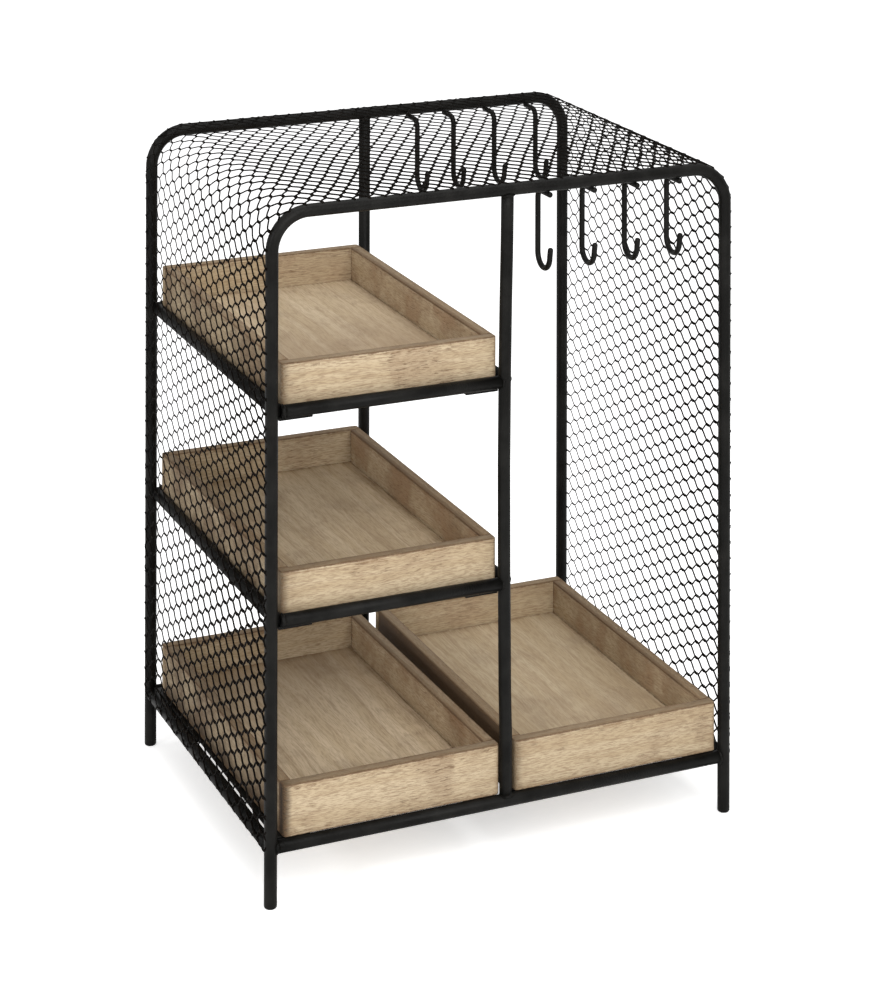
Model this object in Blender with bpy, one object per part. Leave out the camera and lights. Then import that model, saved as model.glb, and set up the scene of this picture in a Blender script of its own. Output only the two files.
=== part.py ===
"""Tabletop organiser: two bent-bar hoops, shelf rails, wrapped netting, hanging hooks and four wooden trays.

Metres, +Z up, front towards -Y. The origin is on the ground under the middle of the frame.
"""

import math

import bmesh
import bpy
from mathutils import Vector

GAP = 0.0003  # clearance between neighbouring pieces

# Frame bars
BAR_R = 0.00315
HALF_X = 0.1306  # leg centre, left and right
HALF_Y = 0.0999  # hoop plane, front and rear
TOP_Z = 0.3498  # centre of the top bars
HOOP_BEND_R = 0.0195
POST_X = 0.0005
BASE_Z = 0.030  # centre of the bottom rails
SHELF_Z = {"mid": 0.1437, "top": 0.2493}  # centre of each shelf's bars
SIDE_RAIL_INSET = 0.0032  # the shelf side rails sit just inside the legs
FOOT_CHAMFER = 0.0008
BAR_SIDES = 20

# Flat strips that carry the trays
STRIP_T = 0.0016
STRIP_W = 0.0184
STRIP_X = (-0.1170, -0.0134)  # strip centres under a left-hand tray

# Trays
TRAY_W = 0.1200
TRAY_D = 0.1929
TRAY_H = 0.0262
TRAY_WALL = 0.0062
TRAY_FLOOR_T = 0.004
TRAY_FLOOR_TOP = 0.0077
TRAY_LEFT_X = -0.0639
TRAY_RIGHT_X = 0.0657
BASE_TRAY_Y = -0.0031  # the bottom trays stand a little forward, over the front rail
BASE_TRAY_SHIFT = 0.0004  # and the left one a little nearer the centre posts

# Hooks
WIRE_R = 0.0015
HOOK_BEND_R = 0.0045
HOOK_THROAT_R = 0.0073
HOOK_TIP_RISE = 0.0050
HOOK_TIP_FLARE = 0.0010
WIRE_SIDES = 12
# drop is from the arm's centre down to the throat's centre
FRONT_HOOKS = {
    "x": (0.0246, 0.0508, 0.0763, 0.1020), "shank_y": -0.0865, "arm_z": 0.3448, "arm": 0.0157, "drop": 0.0328
}
REAR_HOOKS = {
    "x": (0.0267, 0.0500, 0.0765, 0.1037), "shank_y": 0.0818, "arm_z": 0.3468, "arm": 0.0148, "drop": 0.0318
}

# Netting sheet
NET_T = 0.0008
NET_HALF_Y = 0.1022
NET_LOW_Z = 0.0268


def clear_scene():
    for obj in list(bpy.data.objects):
        bpy.data.objects.remove(obj, do_unlink=True)


def material(name, colour, roughness, metallic):
    mat = bpy.data.materials.new(name)
    mat.use_nodes = True
    shader = mat.node_tree.nodes["Principled BSDF"]
    shader.inputs["Base Color"].default_value = (*colour, 1.0)
    shader.inputs["Roughness"].default_value = roughness
    shader.inputs["Metallic"].default_value = metallic
    mat.diffuse_color = (*colour, 1.0)
    return mat


def add_object(name, bm, mat, location=(0, 0, 0), parent=None):
    bmesh.ops.recalc_face_normals(bm, faces=bm.faces)
    mesh = bpy.data.meshes.new(name)
    bm.to_mesh(mesh)
    bm.free()
    mesh.materials.append(mat)
    obj = bpy.data.objects.new(name, mesh)
    obj.location = location
    obj.parent = parent
    bpy.context.scene.collection.objects.link(obj)
    return obj


def add_empty(name, location):
    empty = bpy.data.objects.new(name, None)
    empty.location = location
    empty.empty_display_size = 0.02
    bpy.context.scene.collection.objects.link(empty)
    return empty


def box(name, low, high, mat, parent=None):
    bm = bmesh.new()
    bmesh.ops.create_cube(bm, size=1.0)
    low, high = Vector(low), Vector(high)
    size = high - low
    for vert in bm.verts:
        vert.co = Vector(c * s for c, s in zip(vert.co, size))
    return add_object(name, bm, mat, (low + high) / 2, parent)


def sweep(name, path, plane_normal, radii, sides, mat):
    """A round bar along a path that lies in one plane, with a radius for each path point and flat ends."""
    bm = bmesh.new()
    side = Vector(plane_normal).normalized()
    rings = []
    for i, point in enumerate(path):
        before = path[max(i - 1, 0)]
        after = path[min(i + 1, len(path) - 1)]
        tangent = (after - before).normalized()
        up = side.cross(tangent).normalized()
        ring = []
        for k in range(sides):
            angle = 2 * math.pi * (k + 0.5) / sides
            offset = side * math.cos(angle) + up * math.sin(angle)
            ring.append(bm.verts.new(point + offset * radii[i]))
        rings.append(ring)
    for a, b in zip(rings, rings[1:]):
        for k in range(sides):
            n = (k + 1) % sides
            bm.faces.new((a[k], a[n], b[n], b[k]))
    bm.faces.new(rings[0][::-1])
    bm.faces.new(rings[-1])
    return add_object(name, bm, mat)


def arc(centre, radius, start, end, steps, u, v):
    """Points on an arc in the plane of the unit vectors u and v, both ends included, angles in degrees."""
    points = []
    for i in range(steps + 1):
        angle = math.radians(start + (end - start) * i / steps)
        points.append(centre + u * (radius * math.cos(angle)) + v * (radius * math.sin(angle)))
    return points


def bar(name, start, end, mat, radius=BAR_R):
    """A straight round bar along X, Y or Z."""
    start, end = Vector(start), Vector(end)
    along = (end - start).normalized()
    normal = Vector((0, 0, 1)) if abs(along.z) < 0.5 else Vector((0, 1, 0))
    return sweep(name, [start, end], normal, [radius] * 2, BAR_SIDES, mat)


def hoop(name, y, mat):
    """An inverted U: two legs down to the ground, two bends and the top bar."""
    ux, uz = Vector((1, 0, 0)), Vector((0, 0, 1))
    inner_x, inner_z = HALF_X - HOOP_BEND_R, TOP_Z - HOOP_BEND_R
    path = [Vector((-HALF_X, y, 0)), Vector((-HALF_X, y, FOOT_CHAMFER))]
    path += arc(Vector((-inner_x, y, inner_z)), HOOP_BEND_R, 180, 90, 8, ux, uz)
    path += arc(Vector((inner_x, y, inner_z)), HOOP_BEND_R, 90, 0, 8, ux, uz)
    path += [Vector((HALF_X, y, FOOT_CHAMFER)), Vector((HALF_X, y, 0))]
    radii = [BAR_R - FOOT_CHAMFER] + [BAR_R] * (len(path) - 2) + [BAR_R - FOOT_CHAMFER]
    return sweep(name, path, (0, 1, 0), radii, BAR_SIDES, mat)


def hook(name, x, shank_y, arm_z, arm, drop, out, mat):
    """A J of wire: arm under the rail, shank down, throat opening to the front. out is +1 where the arm runs back."""
    uy, uz = Vector((0, 1, 0)), Vector((0, 0, 1))
    arm_end = Vector((x, shank_y + out * arm, arm_z))
    bend = Vector((x, shank_y + out * HOOK_BEND_R, arm_z - HOOK_BEND_R))
    throat = Vector((x, shank_y - HOOK_THROAT_R, arm_z - drop))
    tip = throat - uy * (HOOK_THROAT_R + HOOK_TIP_FLARE) + uz * HOOK_TIP_RISE
    path = [arm_end] + arc(bend, HOOK_BEND_R, 90, 90 + out * 90, 4, uy, uz)
    path += arc(throat, HOOK_THROAT_R, 0, -180, 9, uy, uz)
    path += [tip - uz * 0.0006, tip]
    radii = [WIRE_R] * (len(path) - 1) + [WIRE_R * 0.7]
    return sweep(name, path, (1, 0, 0), radii, WIRE_SIDES, mat)


def netting(name, mat):
    """The netting's sheet: up the left side, over both top bends and down the right side."""
    ux, uz = Vector((1, 0, 0)), Vector((0, 0, 1))
    bm = bmesh.new()
    inner_x, inner_z = HALF_X - HOOP_BEND_R, TOP_Z - HOOP_BEND_R
    loops = []
    for offset in (BAR_R + GAP, BAR_R + GAP + NET_T):
        reach = HOOP_BEND_R + offset
        line = [Vector((-HALF_X - offset, 0, NET_LOW_Z))]
        line += arc(Vector((-inner_x, 0, inner_z)), reach, 180, 90, 8, ux, uz)
        line += arc(Vector((inner_x, 0, inner_z)), reach, 90, 0, 8, ux, uz)
        line.append(Vector((HALF_X + offset, 0, NET_LOW_Z)))
        loops.append(line)
    outline = loops[1] + loops[0][::-1]
    ends = [[bm.verts.new(p + Vector((0, y, 0))) for p in outline] for y in (-NET_HALF_Y, NET_HALF_Y)]
    count, half = len(outline), len(loops[0])
    for i in range(count):
        n = (i + 1) % count
        bm.faces.new((ends[0][i], ends[0][n], ends[1][n], ends[1][i]))
    for end in ends:
        for i in range(half - 1):
            bm.faces.new((end[i], end[i + 1], end[count - 2 - i], end[count - 1 - i]))
    return add_object(name, bm, mat)


def tray(name, x, y, z, mats):
    """Four walls round a floor panel, carried by an empty at the middle of the tray's underside."""
    centre = add_empty(f"{name}_centre", (x, y, z))
    hx, hy = TRAY_W / 2, TRAY_D / 2
    ix, iy = hx - TRAY_WALL, hy - TRAY_WALL
    walls = {
        "front": ((-hx, -hy, 0), (hx, -iy, TRAY_H)),
        "rear": ((-hx, iy, 0), (hx, hy, TRAY_H)),
        "left": ((-hx, -iy + GAP, 0), (-ix, iy - GAP, TRAY_H)),
        "right": ((ix, -iy + GAP, 0), (hx, iy - GAP, TRAY_H)),
    }
    for side, (low, high) in walls.items():
        box(f"{name}_{side}_wall", low, high, mats[f"{name}_{side}_wall"], centre)
    low = (-ix + GAP, -iy + GAP, TRAY_FLOOR_TOP - TRAY_FLOOR_T)
    box(f"{name}_floor", low, (ix - GAP, iy - GAP, TRAY_FLOOR_TOP), mats[f"{name}_floor"], centre)


clear_scene()
STEEL = ((0.016, 0.015, 0.014), 0.42, 0.6)
WOOD = ((0.55, 0.42, 0.28), 0.68, 0.0)

# Hoops, posts and bottom rails
clear = BAR_R + GAP
for side, y in (("front", -HALF_Y), ("rear", HALF_Y)):
    hoop(f"{side}_hoop", y, material(f"{side}_hoop", *STEEL))
    bar(
        f"{side}_centre_post",
        (POST_X, y, BASE_Z + clear),
        (POST_X, y, TOP_Z - clear),
        material(f"{side}_centre_post", *STEEL),
    )
    bar(
        f"base_{side}_rail",
        (-HALF_X + clear, y, BASE_Z),
        (HALF_X - clear, y, BASE_Z),
        material(f"base_{side}_rail", *STEEL),
    )
for side, x in (("left", -HALF_X), ("right", HALF_X)):
    bar(
        f"base_{side}_rail",
        (x, -HALF_Y + clear, BASE_Z),
        (x, HALF_Y - clear, BASE_Z),
        material(f"base_{side}_rail", *STEEL),
    )

# Shelf frames: side rails, front and rear bars, and the strips beneath them
for level, z in SHELF_Z.items():
    left_x = -HALF_X + SIDE_RAIL_INSET
    for side, x in (("left", left_x), ("right", POST_X)):
        bar(
            f"{level}_shelf_{side}_rail",
            (x, -HALF_Y + clear, z),
            (x, HALF_Y - clear, z),
            material(f"{level}_shelf_{side}_rail", *STEEL),
        )
    for side, y in (("front", -HALF_Y), ("rear", HALF_Y)):
        bar(
            f"{level}_shelf_{side}_bar",
            (left_x + clear, y, z),
            (POST_X - clear, y, z),
            material(f"{level}_shelf_{side}_bar", *STEEL),
        )
    strip_top = z - clear
    for side, x in zip(("left", "right"), STRIP_X):
        box(
            f"{level}_shelf_{side}_strip",
            (x - STRIP_W / 2, -HALF_Y + 0.001, strip_top - STRIP_T),
            (x + STRIP_W / 2, HALF_Y - 0.001, strip_top),
            material(f"{level}_shelf_{side}_strip", *STEEL),
        )
for tray_side, shift in (("left", 0.0), ("right", TRAY_RIGHT_X - TRAY_LEFT_X)):
    for side, x in zip(("outer", "inner") if not shift else ("inner", "outer"), STRIP_X):
        box(
            f"base_{tray_side}_{side}_strip",
            (x + shift - STRIP_W / 2, -HALF_Y + clear, BASE_Z + BAR_R - STRIP_T),
            (x + shift + STRIP_W / 2, HALF_Y - clear, BASE_Z + BAR_R),
            material(f"base_{tray_side}_{side}_strip", *STEEL),
        )

netting("wire_netting", material("wire_netting", *STEEL))

for side, row, out in (("front", FRONT_HOOKS, -1), ("rear", REAR_HOOKS, 1)):
    for i, x in enumerate(row["x"], 1):
        name = f"{side}_hook_{i}"
        place = row["shank_y"], row["arm_z"], row["arm"], row["drop"]
        hook(name, x, *place, out, material(name, *STEEL))

TRAYS = {
    "base_left_tray": (TRAY_LEFT_X + BASE_TRAY_SHIFT, BASE_TRAY_Y, BASE_Z + clear),
    "base_right_tray": (TRAY_RIGHT_X, BASE_TRAY_Y, BASE_Z + clear),
    "mid_tray": (TRAY_LEFT_X, 0.0, SHELF_Z["mid"] - BAR_R),
    "top_tray": (TRAY_LEFT_X, 0.0, SHELF_Z["top"] - BAR_R),
}
for name, place in TRAYS.items():
    parts = [f"{name}_{part}" for part in ("front_wall", "rear_wall", "left_wall", "right_wall", "floor")]
    tray(name, *place, {part: material(part, *WOOD) for part in parts})
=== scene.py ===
"""Looks for the tabletop organiser: round bars, hexagonal netting, wooden trays, floor, light and camera."""

import math

import bmesh
import bpy
import numpy as np
from mathutils import Matrix, Vector


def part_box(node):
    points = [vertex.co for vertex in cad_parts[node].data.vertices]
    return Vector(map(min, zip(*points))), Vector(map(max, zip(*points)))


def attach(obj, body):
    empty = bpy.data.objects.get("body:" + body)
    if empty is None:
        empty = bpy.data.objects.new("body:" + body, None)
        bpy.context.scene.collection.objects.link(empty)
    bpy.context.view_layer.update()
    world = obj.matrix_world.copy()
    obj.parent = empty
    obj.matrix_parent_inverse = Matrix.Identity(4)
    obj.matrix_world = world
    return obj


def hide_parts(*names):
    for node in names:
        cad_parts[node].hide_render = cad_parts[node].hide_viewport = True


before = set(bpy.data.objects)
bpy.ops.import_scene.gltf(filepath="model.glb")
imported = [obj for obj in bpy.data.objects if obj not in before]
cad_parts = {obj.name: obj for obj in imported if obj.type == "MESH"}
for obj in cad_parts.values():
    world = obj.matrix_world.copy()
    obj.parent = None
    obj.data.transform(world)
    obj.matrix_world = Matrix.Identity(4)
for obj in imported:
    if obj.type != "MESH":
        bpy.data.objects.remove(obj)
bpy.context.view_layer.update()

UX, UY, UZ = Vector((1, 0, 0)), Vector((0, 1, 0)), Vector((0, 0, 1))


def middle(node):
    """The centre of a CAD node's box."""
    low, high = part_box(node)
    return (low + high) / 2


# the frame's sizes, all to the middle of its round bars
hoop_low, hoop_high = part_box("front_hoop")
HALF_X = -middle("base_left_rail").x
HALF_Y = -middle("base_front_rail").y
BASE_Z = middle("base_front_rail").z
TOP_Z = hoop_high.z - (hoop_high.y - hoop_low.y) / 2
HOOP_BEND_R = 0.0195
BAR_R = 0.00335  # with the powder coat on the steel


# ---------------------------------------------------------------- geometry helpers


def add_piece(name, verts, faces, body, mat, stands_for=(), slot=None):
    """A smooth mesh that rides this body, in place of the CAD nodes that it stands for."""
    mesh = bpy.data.meshes.new(name)
    mesh.from_pydata([tuple(v) for v in verts], [], faces)
    mesh.validate()
    mesh.materials.append(mat)
    mesh.shade_smooth()
    obj = bpy.data.objects.new(name, mesh)
    bpy.context.scene.collection.objects.link(obj)
    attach(obj, body)
    if stands_for:
        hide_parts(*stands_for)
    return obj


def arc(centre, radius, start, end, steps, u, v):
    points = []
    for i in range(steps + 1):
        angle = math.radians(start + (end - start) * i / steps)
        points.append(centre + u * (radius * math.cos(angle)) + v * (radius * math.sin(angle)))
    return points


def tube(path, radii, side, sides):
    """Vertices and faces of a round bar along a path in one plane, with capped ends."""
    verts, faces = [], []
    for i, point in enumerate(path):
        before, after = path[max(i - 1, 0)], path[min(i + 1, len(path) - 1)]
        tangent = (after - before).normalized()
        up = side.cross(tangent).normalized()
        for k in range(sides):
            a = 2 * math.pi * k / sides
            verts.append(point + (side * math.cos(a) + up * math.sin(a)) * radii[i])
    for i in range(len(path) - 1):
        for k in range(sides):
            n = (k + 1) % sides
            faces.append((i * sides + k, i * sides + n, (i + 1) * sides + n, (i + 1) * sides + k))
    faces.append(tuple(range(sides))[::-1])
    faces.append(tuple(range((len(path) - 1) * sides, len(path) * sides)))
    return verts, faces


def rounded_end(point, direction, radius, rise, steps=4):
    """Path points and radii that round a bar's end off, from its full radius out to the end point."""
    points, radii = [], []
    for i in range(steps + 1):
        a = math.radians(90 * i / steps)
        points.append(point - direction * (rise * (1 - math.sin(a))))
        radii.append(radius - rise * (1 - math.cos(a)))
    return points, radii


# ---------------------------------------------------------------- camera
# A level camera at the front left, its picture plane upright so that the legs stay parallel.

CAM_POS = Vector((-0.60372, -1.39277, 0.69941))
CAM_YAW, CAM_ROLL = -0.4112, 0.0023
FOCAL_PX, HORIZON_PX, LONG_SIDE_PX = 2724.25, -478.59, 1000.0
SIDESTEP_PX = -0.8  # the picture's centre against the central ray


def make_camera():
    level_right = Vector((math.cos(CAM_YAW), math.sin(CAM_YAW), 0))
    ahead = Vector((-math.sin(CAM_YAW), math.cos(CAM_YAW), 0))
    right = level_right * math.cos(CAM_ROLL) + UZ * math.sin(CAM_ROLL)
    up = UZ * math.cos(CAM_ROLL) - level_right * math.sin(CAM_ROLL)
    drop = (LONG_SIDE_PX / 2 - HORIZON_PX) / FOCAL_PX
    through = ahead - up * drop + right * (SIDESTEP_PX / FOCAL_PX)
    stretch = through.length
    back = -through.normalized()
    cam = bpy.data.cameras.new("camera")
    cam.sensor_width = 36.0
    cam.lens = FOCAL_PX * stretch * cam.sensor_width / LONG_SIDE_PX
    cam.clip_start, cam.clip_end = 0.01, 50.0
    obj = bpy.data.objects.new("camera", cam)
    bpy.context.scene.collection.objects.link(obj)
    stand = bpy.data.objects.new("camera_stand", None)
    bpy.context.scene.collection.objects.link(stand)
    obj.parent = stand
    shear = Matrix((
        (right.x, up.x, back.x, CAM_POS.x),
        (right.y, up.y, back.y, CAM_POS.y),
        (right.z, up.z, back.z, CAM_POS.z),
        (0, 0, 0, 1),
    ))
    obj.matrix_parent_inverse = shear
    bpy.context.scene.camera = obj


make_camera()


# ---------------------------------------------------------------- material helpers


class Nodes:
    """A thin wrapper that adds nodes to a new material and links them by name."""

    def __init__(self, name):
        self.mat = bpy.data.materials.new(name)
        self.mat.use_nodes = True
        self.tree = self.mat.node_tree
        self.shader = self.tree.nodes["Principled BSDF"]

    def add(self, kind, inputs=None, **props):
        node = self.tree.nodes.new(kind)
        for key, value in props.items():
            setattr(node, key, value)
        for key, value in (inputs or {}).items():
            if isinstance(value, bpy.types.NodeSocket):
                self.tree.links.new(value, node.inputs[key])
            else:
                node.inputs[key].default_value = value
        return node

    def math(self, operation, a, b=0.0, clamp=False):
        return self.add("ShaderNodeMath", {0: a, 1: b}, operation=operation, use_clamp=clamp).outputs[0]

    def mix(self, factor, a, b, blend="MIX"):
        node = self.add("ShaderNodeMix", data_type="RGBA", blend_type=blend, clamp_factor=True)
        for index, value in ((0, factor), (6, a), (7, b)):
            if isinstance(value, bpy.types.NodeSocket):
                self.tree.links.new(value, node.inputs[index])
            else:
                node.inputs[index].default_value = value
        return node.outputs[2]

    def ramp(self, value, low, high, invert=False):
        """0 below low and 1 above high, smooth between; swapped if invert."""
        node = self.add("ShaderNodeMapRange", {0: value, 1: low, 2: high}, interpolation_type="SMOOTHSTEP")
        node.inputs[3].default_value, node.inputs[4].default_value = (1, 0) if invert else (0, 1)
        return node.outputs[0]

    def noise(self, vector, scale=1.0, detail=4.0, roughness=0.55):
        inputs = {"Vector": vector, "Scale": scale, "Detail": detail, "Roughness": roughness}
        return self.add("ShaderNodeTexNoise", inputs).outputs[0]

    def place(self, vector, scale, offset):
        inputs = {"Vector": vector, "Scale": scale, "Location": offset}
        return self.add("ShaderNodeMapping", inputs).outputs[0]

    def into(self, name, value):
        if isinstance(value, bpy.types.NodeSocket):
            self.tree.links.new(value, self.shader.inputs[name])
        else:
            self.shader.inputs[name].default_value = value


def rgb(r, g, b):
    return (r, g, b, 1.0)


def metal_material(name, colour, roughness, gloss, grain_scale, bump):
    """Satin black powder coat: fine orange peel, faint cloudiness and a few dusty scuffs."""
    n = Nodes(name)
    where = n.add("ShaderNodeTexCoord").outputs["Object"]
    cloud = n.noise(where, 60.0, 3.0)
    fine = n.noise(where, grain_scale, 2.0, 0.6)
    scuff = n.ramp(n.noise(where, 420.0, 6.0, 0.7), 0.66, 0.78)
    light = tuple(c * 1.8 + 0.003 for c in colour[:3]) + (1.0,)
    tone = n.mix(n.ramp(cloud, 0.35, 0.7), colour, light)
    n.into("Base Color", n.mix(n.math("MULTIPLY", scuff, 0.25), tone, rgb(0.045, 0.041, 0.036)))
    rough = n.math("ADD", n.math("MULTIPLY", cloud, 0.16), roughness - 0.08)
    n.into("Roughness", n.math("ADD", rough, n.math("MULTIPLY", fine, 0.08)))
    n.into("Metallic", 0.0)
    n.into("Specular IOR Level", gloss)
    relief = n.add("ShaderNodeBump", {"Strength": bump, "Distance": 0.0002, "Height": fine})
    n.into("Normal", relief.outputs[0])
    return n.mat


def wood_material(
    name, half, grain_axis, seed, is_wall, brown, grey, shade=None, left_wall_shade=None, end_shade=None, ruddy=None
):
    """Washed open-grained wood for a board of these half sizes, its own centre at the object's origin.

    brown is the colour of its patches of stain, and grey takes its colour down, or up where it is below zero.
    The last four are marks that only some boards bear, painted shade among them: TRAYS says what each is.
    """
    n = Nodes(name)
    where = n.add("ShaderNodeTexCoord").outputs["Object"]
    rng = np.random.default_rng(seed)
    shift = [tuple(rng.uniform(-30, 30, 3)) for _ in range(8)]

    # slow bends in the grain
    slow = [34.0, 34.0, 34.0]
    slow[grain_axis] = 12.0
    bends = [n.math("MULTIPLY", n.noise(n.place(where, slow, shift[i]), 1.0, 2.0), 0.007) for i in (0, 1)]
    sway = n.add("ShaderNodeCombineXYZ", {0: bends[0], 1: bends[0], 2: bends[1]}).outputs[0]
    bent = n.add("ShaderNodeVectorMath", {0: where, 1: sway}, operation="ADD").outputs[0]

    def grain(across, along, which, detail=3.0, roughness=0.55):
        scale = [across, across, across]
        scale[grain_axis] = along
        return n.noise(n.place(bent, scale, shift[which]), 1.0, detail, roughness)

    def share(value, low, high, amount):
        return n.math("MULTIPLY", n.ramp(value, low, high), amount)

    bands = grain(150.0, 5.0, 2, 2.0)
    streaks = grain(1250.0, 60.0, 3, 4.0, 0.65) if is_wall else grain(430.0, 9.0, 3, 4.0, 0.6)
    fibres = grain(2300.0, 230.0, 4, 3.0, 0.6) if is_wall else grain(1900.0, 110.0, 4, 3.0, 0.6)
    dashes = grain(1150.0, 150.0, 5, 4.0, 0.65)
    blotch = n.noise(n.place(where, (34.0, 34.0, 34.0), shift[6]), 1.0, 3.0, 0.6)
    speck = n.noise(n.place(where, (520.0, 520.0, 520.0), shift[7]), 1.0, 4.0, 0.7)

    pale = rgb(0.505 - 0.05 * grey, 0.405 - 0.042 * grey, 0.272 - 0.034 * grey)
    warm = rgb(0.440 - 0.04 * grey, 0.340 - 0.034 * grey, 0.216 - 0.026 * grey)
    tone = n.mix(n.ramp(bands, 0.35, 0.65), warm, pale)
    tone = n.mix(share(blotch, 0.50, 0.68, 0.55 if is_wall else 0.36), tone, rgb(*brown))
    tone = n.mix(share(streaks, 0.50, 0.66, 0.44 if is_wall else 0.34), tone, rgb(0.280, 0.188, 0.110))
    tone = n.mix(share(fibres, 0.45, 0.62, 0.56 if is_wall else 0.34), tone, rgb(0.225, 0.150, 0.088))
    if shade:
        # the floor is darker and browner from one place along it to another: painted shade of the shelf above
        # on the left base tray, a browner patch on the others
        along = n.add("ShaderNodeSeparateXYZ", {0: bent}).outputs[1]
        tone = n.mix(share(along, shade[0], shade[1], shade[2]), tone, rgb(0.250, 0.175, 0.110))

    # distance from the nearest edge of the board: the middle of the three face distances
    apart = n.add("ShaderNodeSeparateXYZ", {0: where})
    away = [n.math("SUBTRACT", half[i], n.math("ABSOLUTE", apart.outputs[i])) for i in range(3)]
    least = n.math("MINIMUM", n.math("MINIMUM", away[0], away[1]), away[2])
    most = n.math("MAXIMUM", n.math("MAXIMUM", away[0], away[1]), away[2])
    total = n.math("ADD", n.math("ADD", away[0], away[1]), away[2])
    edge = n.math("SUBTRACT", total, n.math("ADD", least, most))
    near_edge = n.ramp(edge, 0.0015, 0.0070, invert=True) if is_wall else 0.0
    patches = n.math("MAXIMUM", n.ramp(blotch, 0.47, 0.62), near_edge)
    marks = n.math("MULTIPLY", n.ramp(dashes, 0.58, 0.63), patches)
    dash_share = (0.66 if is_wall else 0.24) * (0.45 if grey > 0.3 else 1.0)
    tone = n.mix(n.math("MULTIPLY", marks, dash_share), tone, rgb(0.150, 0.086, 0.046))
    if left_wall_shade:
        # painted shade on the outer face of a left wall, deeper low down
        all_over, low_down = left_wall_shade
        outside = n.ramp(apart.outputs[0], 0.0015 - half[0], 0.0002 - half[0])
        outer_shade = n.math("ADD", n.math("MULTIPLY", n.ramp(blotch, 0.40, 0.62), 0.40), all_over)
        tone = n.mix(n.math("MULTIPLY", outside, outer_shade, clamp=True), tone, rgb(0.105, 0.068, 0.040))
        low = n.math("ADD", apart.outputs[2], n.math("MULTIPLY", speck, 0.003))
        low_shade = share(low, 0.0125 - half[2], 0.0030 - half[2], low_down)
        tone = n.mix(low_shade, tone, rgb(0.060, 0.040, 0.026))
    if end_shade:
        # painted shade on the left end, close behind the leg
        end = n.ramp(n.math("ADD", apart.outputs[0], half[0]), 0.0006, 0.0052, invert=True)
        tone = n.mix(n.math("MULTIPLY", end, end_shade), tone, rgb(0.060, 0.040, 0.025))
    if ruddy:
        # a browner inner face, and a broken dark seam under its top rim
        inside = n.ramp(apart.outputs[0], 0.0030 - half[0], 0.0010 - half[0])
        stained = n.math("ADD", n.math("MULTIPLY", n.ramp(blotch, 0.40, 0.60), 0.32), ruddy)
        tone = n.mix(n.math("MULTIPLY", inside, stained), tone, rgb(0.190, 0.104, 0.050))
        wander = n.math("ADD", apart.outputs[2], n.math("MULTIPLY", n.math("SUBTRACT", speck, 0.5), 0.0008))
        dark_line = n.math("MULTIPLY", n.ramp(wander, half[2] - 0.0013, half[2] - 0.0008), inside)
        dark_line = n.math("MULTIPLY", dark_line, n.ramp(bands, 0.36, 0.50))
        tone = n.mix(n.math("MULTIPLY", dark_line, 0.80), tone, rgb(0.050, 0.028, 0.016))
    if is_wall:
        # the sawn top rim is browner, and stain has gathered along every arris in broken specks
        rim = n.ramp(apart.outputs[2], half[2] - 0.0007, half[2] - 0.0003)
        tone = n.mix(n.math("MULTIPLY", rim, 0.68), tone, rgb(0.178, 0.122, 0.070))
    ragged = n.math("ADD", edge, n.math("MULTIPLY", n.math("SUBTRACT", speck, 0.5), 0.006))
    stain = n.math("MULTIPLY", n.ramp(ragged, 0.0008, 0.0034, invert=True), n.ramp(streaks, 0.40, 0.58))
    tone = n.mix(n.math("MULTIPLY", stain, 0.52), tone, rgb(0.205, 0.122, 0.062))
    arris = n.math("ADD", edge, n.math("MULTIPLY", n.math("SUBTRACT", speck, 0.5), 0.0022))
    worn = n.ramp(arris, 0.0002, 0.0008, invert=True)
    tone = n.mix(n.math("MULTIPLY", worn, 0.75), tone, rgb(0.110, 0.064, 0.036))
    n.into("Base Color", tone)
    n.into("Roughness", n.math("ADD", n.math("MULTIPLY", fibres, 0.2), 0.60))
    n.into("Specular IOR Level", 0.22)
    height = n.math("ADD", n.math("MULTIPLY", streaks, 0.8), n.math("MULTIPLY", fibres, 0.8))
    height = n.math("SUBTRACT", height, n.math("MULTIPLY", marks, 1.2))
    relief = n.add("ShaderNodeBump", {"Strength": 0.6, "Distance": 0.00024, "Height": height})
    n.into("Normal", relief.outputs[0])
    return n.mat


STEEL = metal_material("frame_powder_coat", rgb(0.0034, 0.0032, 0.0027), 0.37, 0.11, 1100.0, 1.0)
NETTING = metal_material("netting_coat", rgb(0.0026, 0.0018, 0.0012), 0.44, 0.02, 2400.0, 0.25)

# ---------------------------------------------------------------- frame bars

BAR_SIDES = 32
LEG_PLACES = (0.004, 0.1, 0.2, 0.3)  # heights of the points along a leg, above its rounded foot
TOP_PLACES = (-0.06, 0.0, 0.06)
BEND_STEPS = 16
FOOT_RISE = 0.0011  # how much a foot is rounded off


def hoop_path(y):
    inner_x, inner_z = HALF_X - HOOP_BEND_R, TOP_Z - HOOP_BEND_R
    path = [Vector((-HALF_X, y, z)) for z in LEG_PLACES]
    path += arc(Vector((-inner_x, y, inner_z)), HOOP_BEND_R, 180, 90, BEND_STEPS, UX, UZ)
    path += [Vector((x, y, TOP_Z)) for x in TOP_PLACES]
    path += arc(Vector((inner_x, y, inner_z)), HOOP_BEND_R, 90, 0, BEND_STEPS, UX, UZ)
    return path + [Vector((HALF_X, y, z)) for z in reversed(LEG_PLACES)]


for end, y in (("front", -HALF_Y), ("rear", HALF_Y)):
    body_path = hoop_path(y)
    first, first_r = rounded_end(Vector((-HALF_X, y, 0)), -UZ, BAR_R, FOOT_RISE)
    last, last_r = rounded_end(Vector((HALF_X, y, 0)), -UZ, BAR_R, FOOT_RISE)
    path = first[::-1] + body_path + last
    radii = first_r[::-1] + [BAR_R] * len(body_path) + last_r
    verts, faces = tube(path, radii, UY, BAR_SIDES)
    add_piece(f"{end}_hoop_bar", verts, faces, "frame", STEEL, stands_for=[f"{end}_hoop"])


def between(table, places):
    """The values of a table of (place, value) pairs at these places, straight between its own."""
    return np.interp(places, *zip(*table))


RUN_ON = 0.0012  # how far a bar runs on into its neighbours
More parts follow.
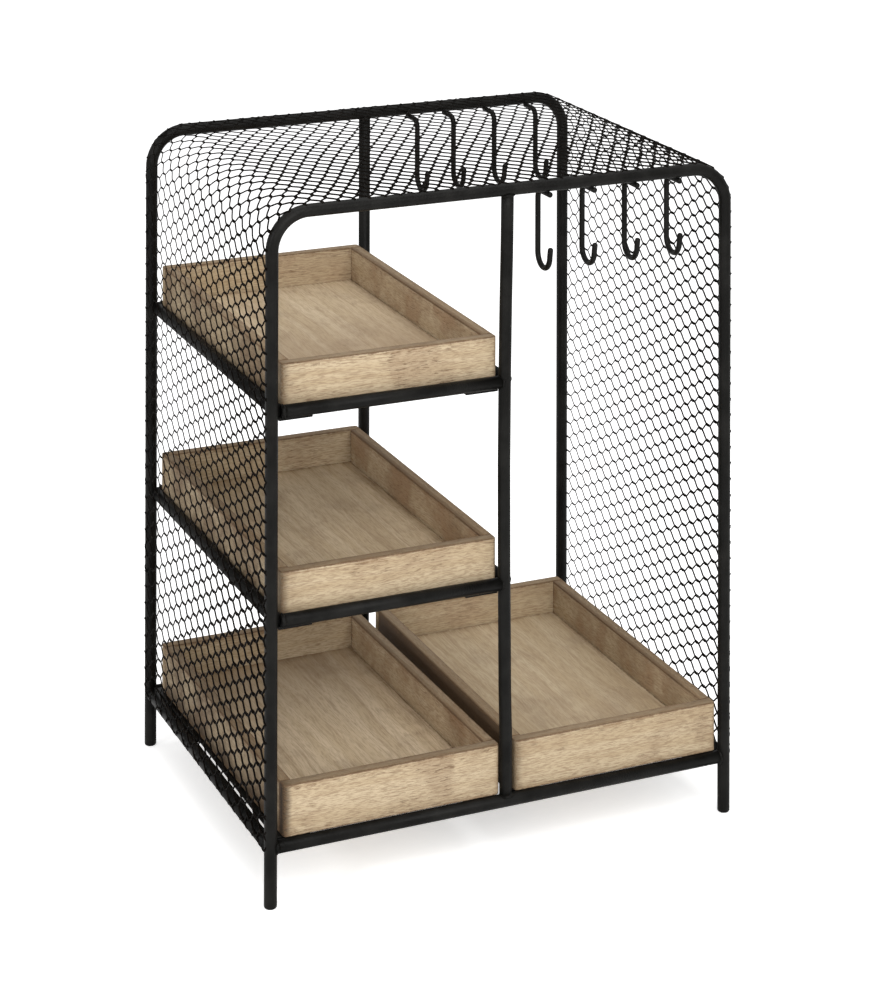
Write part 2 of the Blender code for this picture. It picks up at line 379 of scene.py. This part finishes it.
# the front centre post is bowed towards the trays: the height, and how far it is to the right there
POST_BOW = (
    (0.062, -0.0003), (0.085, -0.0009), (0.150, -0.0015), (0.205, -0.0017),
    (0.250, -0.0014), (0.290, -0.0009), (0.320, -0.0003), (0.350, 0.0),
)
POST_STEPS = 40


def bar_in_place_of(node):
    """A round bar in place of a CAD bar, run on to close the clearance at its ends."""
    low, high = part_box(node)
    size = high - low
    axis = max(range(3), key=lambda i: size[i])
    start, end = middle(node), middle(node)
    start[axis] = low[axis] - RUN_ON
    end[axis] = high[axis] + RUN_ON
    side = UZ if axis != 2 else UY
    path = [start.lerp(end, t) for t in (0.0, 0.5, 1.0)]
    if node == "front_centre_post":
        path = [start.lerp(end, i / POST_STEPS) for i in range(POST_STEPS + 1)]
        for point in path:
            point.x += float(between(POST_BOW, point.z))
    verts, faces = tube(path, [BAR_R] * len(path), side, BAR_SIDES)
    add_piece(f"{node}_tube", verts, faces, "frame", STEEL, stands_for=[node])
    return start, end, axis


WELD_REACH = 0.0014  # along the bar
WELD_LIFT = 0.0007  # out from the bar
WELD_START = 0.0007  # from the end of the bar
WELD_RINGS, WELD_SIDES = 9, 28


def weld(name, point, direction, seed):
    """A weld bead: a lumpy collar round a bar's end where it meets its neighbour at point."""
    side = UZ if abs(direction.z) < 0.5 else UX
    other = direction.cross(side).normalized()
    phase = np.random.default_rng(seed).uniform(0, 6.28, 2)
    rings, sides = WELD_RINGS, WELD_SIDES
    verts, faces = [], []
    for i in range(rings):
        t = i / (rings - 1)
        for k in range(sides):
            a = 2 * math.pi * k / sides
            lump = 1 + 0.16 * math.sin(3 * a + phase[0]) + 0.12 * math.sin(5 * a + phase[1] + 3 * t)
            r = BAR_R - 0.0001 + WELD_LIFT * lump * math.exp(-3.2 * t) - 0.0002 * t
            r = max(r, BAR_R - 0.0003)
            outward = side * math.cos(a) + other * math.sin(a)
            verts.append(point + direction * (WELD_REACH * lump * t) + outward * r)
    for i in range(rings - 1):
        for k in range(sides):
            m = (k + 1) % sides
            faces.append((i * sides + k, i * sides + m, (i + 1) * sides + m, (i + 1) * sides + k))
    faces.append(tuple(range(sides))[::-1])
    faces.append(tuple(range((rings - 1) * sides, rings * sides)))
    add_piece(name, verts, faces, "frame", STEEL, slot="front_hoop")


round_bars = [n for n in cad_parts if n.endswith(("_rail", "_bar", "_post"))]
for index, node in enumerate(sorted(round_bars)):
    start, end, axis = bar_in_place_of(node)
    towards = (UX, UY, UZ)[axis]
    weld(f"{node}_weld_a", start + towards * WELD_START, towards, 10 * index)
    weld(f"{node}_weld_b", end - towards * WELD_START, -towards, 10 * index + 1)


CORNER_R = 0.0020  # upright corners of a tray


def soft_box(name, low, high, edge, body, mat, stands_for, round_side=0, turn=(0, 0, 0)):
    """A board or strip with eased edges, its origin at its own centre.

    round_side is 1 or -1 where the upright corners on that side in Y are rounder, or else 0.
    """
    centre, half = (low + high) / 2, (high - low) / 2
    bm = bmesh.new()
    bmesh.ops.create_cube(bm, size=1.0)
    for vert in bm.verts:
        vert.co = Vector(2 * c * h for c, h in zip(vert.co, half))
    if round_side:
        upright = [
            e for e in bm.edges
            if abs(e.verts[0].co.z - e.verts[1].co.z) > half.z and e.verts[0].co.y * round_side > 0
        ]
        bmesh.ops.bevel(bm, geom=upright, offset=CORNER_R, segments=4, profile=0.5, affect="EDGES")
    sharp = [e for e in bm.edges if e.calc_face_angle() > math.radians(40)]
    bmesh.ops.bevel(bm, geom=sharp, offset=edge, segments=3, profile=0.5, affect="EDGES")
    mesh = bpy.data.meshes.new(name)
    bm.to_mesh(mesh)
    bm.free()
    mesh.materials.append(mat)
    mesh.shade_smooth()
    mesh.set_sharp_from_angle(angle=math.radians(50))
    obj = bpy.data.objects.new(name, mesh)
    obj.location = centre
    obj.rotation_euler = turn
    bpy.context.scene.collection.objects.link(obj)
    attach(obj, body)
    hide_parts(*stands_for)
    return obj


STRIP_EDGE = 0.0004
STRIP_CLOSER = 0.0005  # the left bottom strip is closer to its rail than the CAD clearance
SEAM_FROM_Y = 0.024  # and from here to the rear it is welded to the rail
SEAM_REACH, SEAM_OVERLAP = 0.0016, 0.001

for node in sorted(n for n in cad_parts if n.endswith("_strip")):
    low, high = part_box(node)
    if node == "base_left_outer_strip":
        low = low - UX * STRIP_CLOSER
        seam_low = Vector((low.x - SEAM_REACH, SEAM_FROM_Y, low.z))
        seam_high = Vector((low.x + SEAM_OVERLAP, high.y, high.z))
        soft_box(f"{node}_seam", seam_low, seam_high, STRIP_EDGE, "frame", STEEL, [node])
    soft_box(f"{node}_flat", low, high, STRIP_EDGE, "frame", STEEL, [node])

# ---------------------------------------------------------------- trays

# What differs from tray to tray:
# wall_grey, floor_grey: how grey the wood is, below zero for paler wood
# shade: the floor darkens from one place in Y to another, and by how much; painted shade of the shelf above
# on the left base tray, a browner patch on the others
# grime: how dark the painted shade on the outer face of the left wall is, all over and low down
# end_shade: how dark the painted shade is on the left end of the front, close behind the leg
# ruddy: how brown the inner face of the right wall is
# aside, rise: each tray lies slightly askew, its rear this far to the left and up per metre of depth
TRAYS = {
    "base_left_tray": dict(
        wall_grey=-0.4, floor_grey=-2.4, shade=(0.0, 0.09, 0.46),
        left_wall_shade=(0.30, 0.78), end_shade=0.95, ruddy=0.20, aside=0.0145, rise=0.0,
    ),
    "base_right_tray": dict(
        wall_grey=0.5, floor_grey=0.4, shade=(0.02, -0.05, 0.15),
        left_wall_shade=(1.0, 0.25), end_shade=0.40, ruddy=0.08, aside=0.0040, rise=0.0,
    ),
    "mid_tray": dict(
        wall_grey=0.0, floor_grey=-0.8, shade=None,
        left_wall_shade=(0.16, 0.25), end_shade=0.60, ruddy=0.18, aside=0.0095, rise=0.0025,
    ),
    "top_tray": dict(
        wall_grey=-0.1, floor_grey=-1.2, shade=(0.06, -0.05, 0.60),
        left_wall_shade=(0.14, 0.25), end_shade=0.50, ruddy=0.02, aside=0.0090, rise=0.0080,
    ),
}
# grain axis, the side in Y with rounder corners, and the stain that lies in patches
BOARDS = {
    "front_wall": (0, -1, (0.330, 0.240, 0.155)),
    "rear_wall": (0, 1, (0.400, 0.290, 0.185)),
    "left_wall": (1, 0, (0.400, 0.270, 0.165)),
    "right_wall": (1, 0, (0.430, 0.285, 0.170)),
    "floor": (1, 0, (0.300, 0.222, 0.148)),
}
MARKS = {"front_wall": "end_shade", "left_wall": "left_wall_shade", "right_wall": "ruddy", "floor": "shade"}
BOARD_EDGE = 0.00045
CLOSER = 0.0002  # what closes the CAD clearance between the boards of a tray
LONGER_FRONT = 0.0003


def make_board(body, part, seed):
    tray = TRAYS[body]
    grain_axis, round_side, brown = BOARDS[part]
    is_wall = part != "floor"
    look = {"grey": tray["wall_grey" if is_wall else "floor_grey"]}
    if part in MARKS:
        look[MARKS[part]] = tray[MARKS[part]]
    node = f"{body}_{part}"
    low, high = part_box(node)
    if not round_side:
        grow = Vector((0.0 if is_wall else CLOSER, CLOSER, 0))
        low, high = low - grow, high + grow
    if node == "base_left_tray_front_wall":
        high = high + UX * LONGER_FRONT
    mat = wood_material(f"{node}_wood", (high - low) / 2, grain_axis, seed, is_wall, brown, **look)
    back = (low.y + high.y) / 2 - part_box(f"{body}_front_wall")[0].y
    offset = Vector((-tray["aside"] * back, 0, tray["rise"] * back))
    turn = (0, 0, 0) if round_side else (tray["rise"], 0, tray["aside"])
    soft_box(f"{node}_board", low + offset, high + offset, BOARD_EDGE, body, mat, [node], round_side, turn)


for t, body in enumerate(TRAYS):
    for p, part in enumerate(BOARDS):
        make_board(body, part, 1 + len(BOARDS) * t + p)

# ---------------------------------------------------------------- hooks

WIRE_R = 0.0015
HOOK_BEND_R, HOOK_THROAT_R = 0.0045, 0.0073
TIP_OUT, TIP_UP = 0.0010, 0.0050  # how far the tip leans out and stands up beyond the half circle
SHANK_PLACES = (0.015, 0.024)  # points along the straight shank, below the arm
ARM_RISE, TIP_RISE = 0.0010, 0.0013  # how much the two ends are rounded off
# the side in Y that the arm points to, the Y of its end and of the shank, and how far down the throat is
HOOKS = {"front": (-1, -0.1022, -0.0865, 0.0328), "rear": (1, 0.0966, 0.0818, 0.0318)}


def make_hook(node):
    """An arm that lies under the top bar, a straight shank and an open throat that faces the front."""
    out, arm_y, shank_y, drop = HOOKS[node.split("_")[0]]
    x, arm_z = middle(node).x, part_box(node)[1].z - WIRE_R
    bend = Vector((x, shank_y + out * HOOK_BEND_R, arm_z - HOOK_BEND_R))
    throat = Vector((x, shank_y - HOOK_THROAT_R, arm_z - drop))
    tip = throat - UY * (HOOK_THROAT_R + TIP_OUT) + UZ * TIP_UP
    path = arc(bend, HOOK_BEND_R, 90, 90 + out * 90, 10, UY, UZ)
    path += [Vector((x, shank_y, arm_z - place)) for place in SHANK_PLACES]
    path += arc(throat, HOOK_THROAT_R, 0, -180, 24, UY, UZ)
    first, first_r = rounded_end(Vector((x, arm_y, arm_z)), UY * out, WIRE_R, ARM_RISE)
    last, last_r = rounded_end(tip, (tip - path[-1]).normalized(), WIRE_R, TIP_RISE, 6)
    line = first[::-1] + path + last
    radii = first_r[::-1] + [WIRE_R] * len(path) + last_r
    add_piece(f"{node}_wire", *tube(line, radii, UX, 20), "frame", STEEL, stands_for=[node])


for node in sorted(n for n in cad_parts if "_hook_" in n):
    make_hook(node)

# ---------------------------------------------------------------- netting
# Hexagonal netting: strands zigzag from front to rear and are twisted together in pairs.

NET_R = 0.00036  # wire radius along the open strands
TWIST_R = 0.00040  # and where two wires are twisted together
TWIST = 0.0026  # length of a twist
NET_OFF = BAR_R + 0.0002  # netting centre above the bar centre
UNDER = math.radians(40)  # how far the netting wraps under the bottom side rails
EDGE_WRAP = math.radians(30) * NET_OFF  # and round the hoops at its front and rear edges
EDGE_SINK = 0.0008  # how far the cut ends dive into the coat
PRESSED = 0.00010  # how far the wires are pressed into the coat over every bar
PRESS_REACH, PRESS_FADE = 0.005, 0.004  # how far from a bar's middle that starts, and how soon it is full
NET_Y = HALF_Y + EDGE_WRAP


def make_wrap():
    """The line that the netting follows, in pieces: (length, kind, data)."""
    ix, iz = HALF_X - HOOP_BEND_R, TOP_Z - HOOP_BEND_R
    reach = HOOP_BEND_R + NET_OFF
    base_l, base_r = Vector((-HALF_X, 0, BASE_Z)), Vector((HALF_X, 0, BASE_Z))
    return [
        (UNDER * NET_OFF, "arc", (base_l, NET_OFF, math.pi + UNDER, math.pi)),
        (iz - BASE_Z, "line", (Vector((-HALF_X - NET_OFF, 0, BASE_Z)), UZ, -UX)),
        (math.pi / 2 * reach, "arc", (Vector((-ix, 0, iz)), reach, math.pi, math.pi / 2)),
        (2 * ix, "line", (Vector((-ix, 0, TOP_Z + NET_OFF)), UX, UZ)),
        (math.pi / 2 * reach, "arc", (Vector((ix, 0, iz)), reach, math.pi / 2, 0.0)),
        (iz - BASE_Z, "line", (Vector((HALF_X + NET_OFF, 0, iz)), -UZ, UX)),
        (UNDER * NET_OFF, "arc", (base_r, NET_OFF, 0.0, -UNDER)),
    ]


WRAP = make_wrap()
WRAP_LENGTH = sum(piece[0] for piece in WRAP)
LEFT_TOP = WRAP[0][0] + WRAP[1][0]
LEFT_END = LEFT_TOP + WRAP[2][0] / 2
RIGHT_START = WRAP_LENGTH - LEFT_END


def wrap_point(s):
    """Position in X and Z and outward direction at s metres along the wrap."""
    for length, kind, data in WRAP:
        if s <= length or data is WRAP[-1][2]:
            break
        s -= length
    if kind == "line":
        start, along, normal = data
        return start + along * s, normal
    centre, radius, a0, a1 = data
    a = a0 + (a1 - a0) * s / length
    normal = UX * math.cos(a) + UZ * math.sin(a)
    return centre + normal * radius, normal


# The netting was pulled over the frame by hand, so it is stretched unevenly. Each table gives a measure at
# places along the wrap, in metres from the left bottom rail.
PITCH = (  # from one cell to the next along the wrap
    (0.090, 0.0092), (0.105, 0.0089), (0.150, 0.0086), (0.190, 0.0082), (0.210, 0.0078), (0.235, 0.0080),
    (0.262, 0.0088), (0.285, 0.0092), (0.300, 0.0089), (0.312, 0.0085), (0.345, 0.0084), (0.560, 0.0084),
    (0.626, 0.0086),
)
COLUMN_WIDTH = (  # from one column of cells to the next, front to rear
    (0.060, 0.0096), (0.096, 0.0094), (0.120, 0.0091), (0.165, 0.0095), (0.195, 0.0090), (0.225, 0.0085),
    (0.250, 0.0087), (0.275, 0.0090), (0.300, 0.0085), (0.320, 0.0079), (0.345, 0.0074), (0.560, 0.0074),
    (0.600, 0.0083), (0.845, 0.0086),
)
ROW_SKEW = (  # how far a row runs on along the wrap per metre towards the rear
    (0.110, -0.035), (0.200, -0.015), (0.260, 0.005), (0.290, 0.020), (0.310, 0.015), (0.345, -0.020),
    (0.560, -0.020), (0.620, 0.0),
)
COLUMN_LEAN = (  # how far a column runs towards the rear per metre of the wrap
    (0.0, -0.05), (0.045, -0.10), (0.090, -0.16), (0.130, -0.05), (0.165, 0.12), (0.195, 0.17),
    (0.230, 0.06), (0.255, -0.02), (0.280, -0.14), (0.300, -0.12), (0.315, 0.0), (0.335, -0.12),
    (0.560, -0.12), (0.600, 0.0), (0.680, 0.03),
)
# Measures at places along the wrap from its very start: how thick the coat is, and how thick the twists are.
COAT = (
    (0.10, 1.26), (0.18, 0.98), (LEFT_TOP, 1.02), (LEFT_END, 1.0),
    (RIGHT_START, 0.99), (RIGHT_START + 0.05, 1.08),
)
COAT_SLOPE = 0.26  # how much thicker it is at the front, and thinner at the rear
TWIST_COAT = ((LEFT_TOP - 0.03, 0.84), (LEFT_END, 1.04), (RIGHT_START, 0.96))
# how sharply a strand turns where it leaves a twist, and how much the knots wander
STRAND_BEND = ((0.20, 4.2), (LEFT_TOP, 3.6), (LEFT_END, 1.9), (RIGHT_START, 1.9), (RIGHT_START + 0.04, 2.5))
WANDER = ((LEFT_END, 0.012), (RIGHT_START, 0.006))

# the tables summed along the wrap: rows gone by, and how far a column has drifted to the rear
STEPS = np.linspace(-0.02, WRAP_LENGTH + 0.02, 1100)
STEP = STEPS[1] - STEPS[0]
PLACES = STEPS - WRAP[0][0]
ROWS = np.cumsum(STEP / between(PITCH, PLACES))
WIDTH = between(COLUMN_WIDTH, PLACES)
LEAN = between(COLUMN_LEAN, PLACES)
SKEW = between(ROW_SKEW, PLACES)
NARROWING = -np.gradient(np.log(WIDTH), STEP)
DRIFT = np.zeros(len(STEPS))
for n in range(len(STEPS) - 1):
    DRIFT[n + 1] = DRIFT[n] + STEP * (LEAN[n] - NARROWING[n] * DRIFT[n])

rng = np.random.default_rng(7)
WAVES = [tuple(rng.uniform((18, 10, 0, 0), (62, 50, math.tau, math.tau))) for _ in range(8)]


def knot_place(row, column):
    """Where the knot of this row and column sits in the stretched netting."""
    s = float(np.interp(row, ROWS, STEPS))
    y = column * float(np.interp(s, STEPS, WIDTH)) + float(np.interp(s, STEPS, DRIFT))
    s += y * float(np.interp(s, STEPS, SKEW))
    dy = ds = 0.0
    for ks, ky, p, q in WAVES:
        dy += math.sin(ks * s + ky * y * 0.4 + p) / ks
        ds += math.sin(ks * s * 0.5 + ky * y + q) / ky
    loose = float(between(WANDER, s))
    return s + ds * loose, y + dy * loose


def over_bar(s, y):
    """1 where the netting lies on a bar, 0 where it spans open air."""
    beyond = max(abs(y) - HALF_Y, WRAP[0][0] - s, s - WRAP_LENGTH + WRAP[0][0])
    return min(max((beyond + PRESS_REACH) / PRESS_FADE, 0.0), 1.0)


def sheet_point(s, y, lift=0.0):
    """A point of the netting and its outward direction, wrapped round the hoops at both edges."""
    position, normal = wrap_point(min(max(s, 0.0), WRAP_LENGTH))
    pressed = over_bar(s, y)
    lift = lift * (1 - 0.5 * pressed) - PRESSED * pressed
    under = WRAP[0][0] - min(s, WRAP_LENGTH - s)
    if under > 0:
        lift -= EDGE_SINK * (under / WRAP[0][0]) ** 2
    over = abs(y) - HALF_Y
    if over <= 0:
        return position + UY * y + normal * lift, normal
    angle = over / NET_OFF
    lift -= EDGE_SINK * (over / EDGE_WRAP) ** 2
    side = UY if y > 0 else -UY
    centre = position - normal * NET_OFF + side * HALF_Y
    radial = normal * math.cos(angle) + side * math.sin(angle)
    return centre + radial * (NET_OFF + lift), radial


def strand(verts, faces, points, radius, sides=6):
    """Adds a wire through points, each with its outward direction, closed at both ends."""
    start = len(verts)
    for i, (point, normal) in enumerate(points):
        before, after = points[max(i - 1, 0)][0], points[min(i + 1, len(points) - 1)][0]
        tangent = (after - before).normalized()
        side = tangent.cross(normal).normalized()
        up = side.cross(tangent)
        for k in range(sides):
            a = 2 * math.pi * (k + 0.25) / sides
            verts.append(point + (side * math.cos(a) + up * math.sin(a)) * radius)
    for i in range(len(points) - 1):
        for k in range(sides):
            m = (k + 1) % sides
            a, b = start + i * sides, start + (i + 1) * sides
            faces.append((a + k, b + k, b + m, a + m))
    faces.append(tuple(start + k for k in range(sides)))
    faces.append(tuple(start + (len(points) - 1) * sides + k for k in range(sides))[::-1])


def cut_to_sheet(path):
    """The stretch of (s, y) places that lies on the netting, cut at its edges."""

    def inside(place):
        return min(place[0], WRAP_LENGTH - place[0], NET_Y - abs(place[1]))

    kept = []
    for a, b in zip(path, path[1:]):
        in_a, in_b = inside(a), inside(b)
        if in_a >= 0 and not kept:
            kept.append(a)
        if (in_a >= 0) != (in_b >= 0):
            t = in_a / (in_a - in_b)
            kept.append((a[0] + (b[0] - a[0]) * t, a[1] + (b[1] - a[1]) * t))
        if in_b >= 0:
            kept.append(b)
    return kept


TWIST_TURN = math.radians(50)  # per step of a twist
TWIST_STEPS, STRAND_STEPS = 6, 10
SHORTEST = 0.0005  # a shorter stump of wire is left out
SCATTER = (0.00010, 0.00012)  # how far a single knot strays along the wrap and across it


def make_netting():
    sections = {"left": ([], []), "top": ([], []), "right": ([], [])}
    columns = int(1.6 * NET_Y / min(WIDTH))
    knots = {}
    for j in range(-columns, columns + 1):
        for i in range(-1, int(ROWS[-1]) + 1):
            s, y = knot_place(i + 0.5 * (j % 2), j)
            s, y = s + rng.normal(0, SCATTER[0]), y + rng.normal(0, SCATTER[1])
            knots[i, j] = s, y, TWIST / 2 * rng.uniform(0.9, 1.12)

    def add(path, radius, twist=None):
        """Adds a wire along this path to its section, coiled from this angle if it is a twist."""
        radius *= 1 - COAT_SLOPE * path[0][1] / HALF_Y
        radius *= float(between(COAT, path[0][0]))
        path = cut_to_sheet(path)
        if len(path) < 2 or math.dist(path[0], path[-1]) < SHORTEST:
            return
        s = path[0][0]
        verts, faces = sections["left" if s < LEFT_END else "top" if s < RIGHT_START else "right"]
        points = []
        for k, (s, y) in enumerate(path):
            a = (twist or 0.0) + k * TWIST_TURN
            turn = radius * 0.85 if twist is not None else 0.0
            points.append(sheet_point(s + turn * math.sin(a), y, turn * math.cos(a)))
        strand(verts, faces, points, radius)

    for (i, j), (s, y, half) in knots.items():
        thick = TWIST_R * float(between(TWIST_COAT, s))
        for phase in (0.0, math.pi):
            add([(s, y - half + 2 * half * k / TWIST_STEPS) for k in range(TWIST_STEPS + 1)], thick, phase)
        # the two strands that leave the rear end of this twist
        for di in (0, 1) if j % 2 else (-1, 0):
            if (i + di, j + 1) not in knots:
                continue
            s1, y1, half1 = knots[i + di, j + 1]
            path = []
            bend = float(between(STRAND_BEND, s))
            for k in range(STRAND_STEPS + 1):
                t = k / STRAND_STEPS
                ease = 0.5 + 0.5 * math.tanh(bend * (t - 0.5)) / math.tanh(bend / 2)
                path.append((s + (s1 - s) * ease, y + half + (y1 - half1 - y - half) * t))
            add(path, NET_R)
    for name, (verts, faces) in sections.items():
        obj = add_piece(f"{name}_netting", verts, faces, "frame", NETTING, slot="wire_netting")
        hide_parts("wire_netting")


make_netting()

# ---------------------------------------------------------------- floor, light, view


def floor_material():
    n = Nodes("paper_floor")
    where = n.add("ShaderNodeTexCoord").outputs["Object"]
    tone = n.noise(where, 3.0, 3.0)
    n.into("Base Color", n.mix(tone, rgb(0.90, 0.90, 0.90), rgb(0.93, 0.93, 0.93)))
    n.into("Roughness", 0.9)
    n.into("Specular IOR Level", 0.1)
    seen = n.add("ShaderNodeLightPath").outputs["Is Camera Ray"]
    n.into("Emission Color", rgb(1, 1, 1))
    n.into("Emission Strength", n.math("MULTIPLY", seen, 0.50))
    return n.mat


floor_mesh = bpy.data.meshes.new("floor")
floor_mesh.from_pydata([(-6, -6, 0), (6, -6, 0), (6, 6, 0), (-6, 6, 0)], [], [(0, 1, 2, 3)])
floor_mesh.materials.append(floor_material())
floor = bpy.data.objects.new("floor", floor_mesh)
bpy.context.scene.collection.objects.link(floor)

world = bpy.data.worlds.new("studio")
bpy.context.scene.world = world
world.use_nodes = True
world_nodes, world_links = world.node_tree.nodes, world.node_tree.links
backdrop, glow = world_nodes["Background"], world_nodes.new("ShaderNodeBackground")
backdrop.inputs["Strength"].default_value = 1.0
glow.inputs["Strength"].default_value = 0.62
for background in (backdrop, glow):
    background.inputs["Color"].default_value = (1, 1, 1, 1)
seen, blend = world_nodes.new("ShaderNodeLightPath"), world_nodes.new("ShaderNodeMixShader")
world_links.new(seen.outputs["Is Camera Ray"], blend.inputs[0])
world_links.new(glow.outputs[0], blend.inputs[1])
world_links.new(backdrop.outputs[0], blend.inputs[2])
world_links.new(blend.outputs[0], world_nodes["World Output"].inputs[0])


def area_light(name, place, target, size, power, colour=(1, 1, 1)):
    data = bpy.data.lights.new(name, "AREA")
    data.shape, data.size, data.size_y = "RECTANGLE", size[0], size[1]
    data.energy, data.color = power, colour
    obj = bpy.data.objects.new(name, data)
    obj.location = place
    aim = Vector(target) - Vector(place)
    obj.rotation_mode = "QUATERNION"
    obj.rotation_quaternion = aim.to_track_quat("-Z", "Y")
    bpy.context.scene.collection.objects.link(obj)


MIDDLE = (0, 0, 0.17)
area_light("key", (-0.15, -1.55, 1.1), MIDDLE, (1.2, 1.2), 21.0, (1.0, 0.99, 0.97))
area_light("side", (-1.6, -0.6, 0.75), MIDDLE, (0.22, 0.22), 7.0)
area_light("top", (0.1, 0.0, 1.8), MIDDLE, (1.2, 1.2), 12.0)

scene = bpy.context.scene
scene.view_settings.view_transform = "Standard"
scene.view_settings.look = "None"
scene.view_settings.exposure = 0.0
